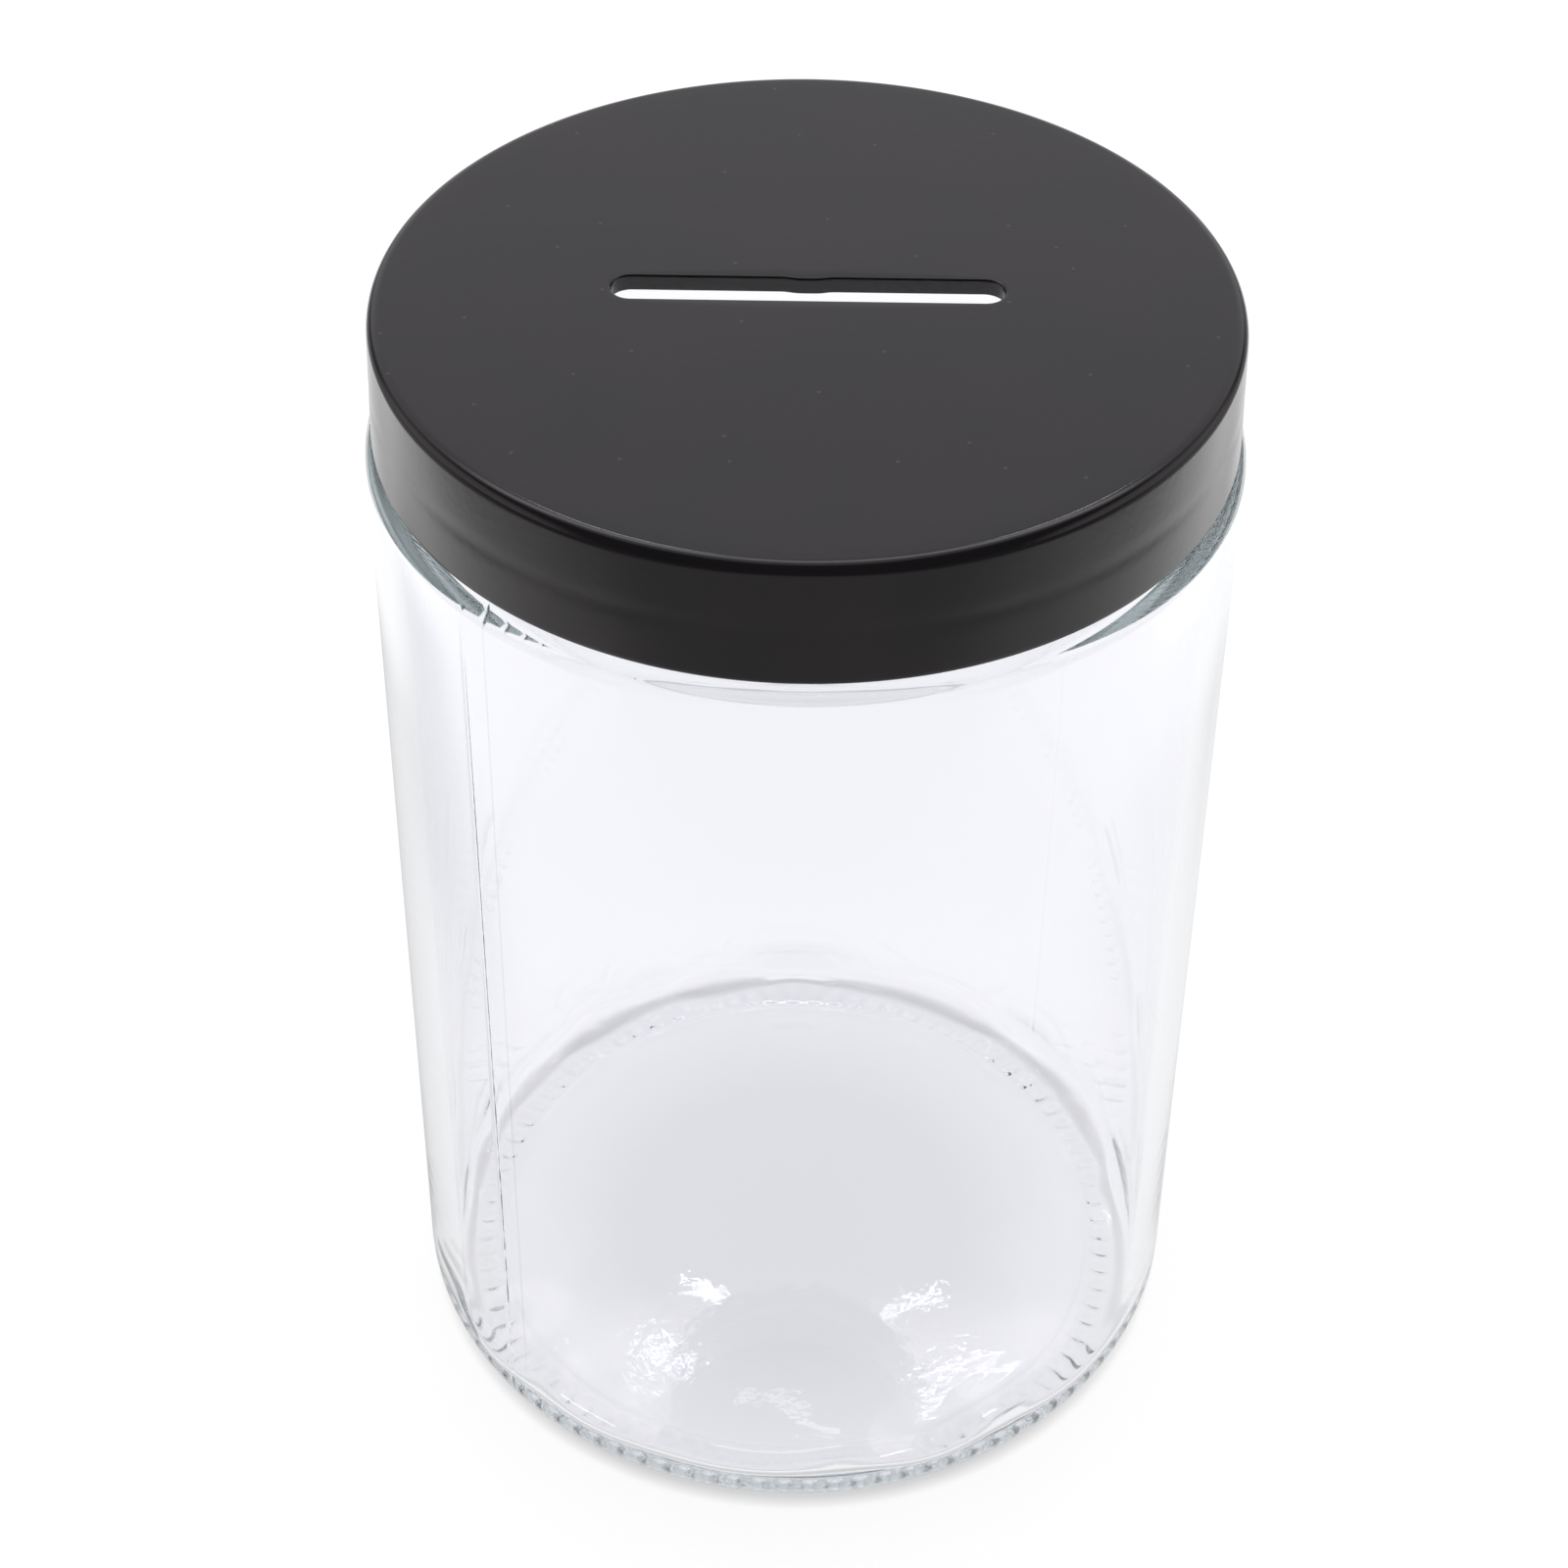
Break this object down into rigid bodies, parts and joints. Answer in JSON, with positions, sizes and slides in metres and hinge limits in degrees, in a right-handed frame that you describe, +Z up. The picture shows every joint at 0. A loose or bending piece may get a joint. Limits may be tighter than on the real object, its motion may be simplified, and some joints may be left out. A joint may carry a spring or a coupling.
{
  "type": "coin bank jar",
  "caption": "Straight-sided clear glass jar with a black screw lid; coins drop through a long slot in the lid and come out when it is unscrewed.",
  "frame": {"origin": "middle of the bottom, on the plane the jar stands on", "axes": "+Z up along the jar's axis, out of its mouth; the coin slot runs along X; -Y is the front"},
  "size_m": [0.0952, 0.0952, 0.1444],
  "materials": {
    "clear_glass": "clear, polished, slightly uneven inside the base",
    "black_plastic": "moulded black, glossy skirt, satin top",
    "liner_foam": "pale closed-cell foam"
  },
  "bodies": {
    "jar": {"glass_jar": "clear_glass"},
    "seal": {"seal_ring": "liner_foam"},
    "lid": {"slotted_lid": "black_plastic"}
  },
  "joints": [
    {"name": "lid_rise", "type": "slide", "parent": "jar", "child": "seal", "axis": [0, 0, 1], "range_m": [0, 0.0153]},
    {"name": "lid_turn", "type": "hinge", "parent": "seal", "child": "lid", "pos_m": [0, 0, 0], "axis": [0, 0, 1], "range_deg": [0, 1080]}
  ],
  "couplings": [
    {"joint": "lid_rise", "follows": "lid_turn", "m_per_rad": 0.00080851}
  ]
}
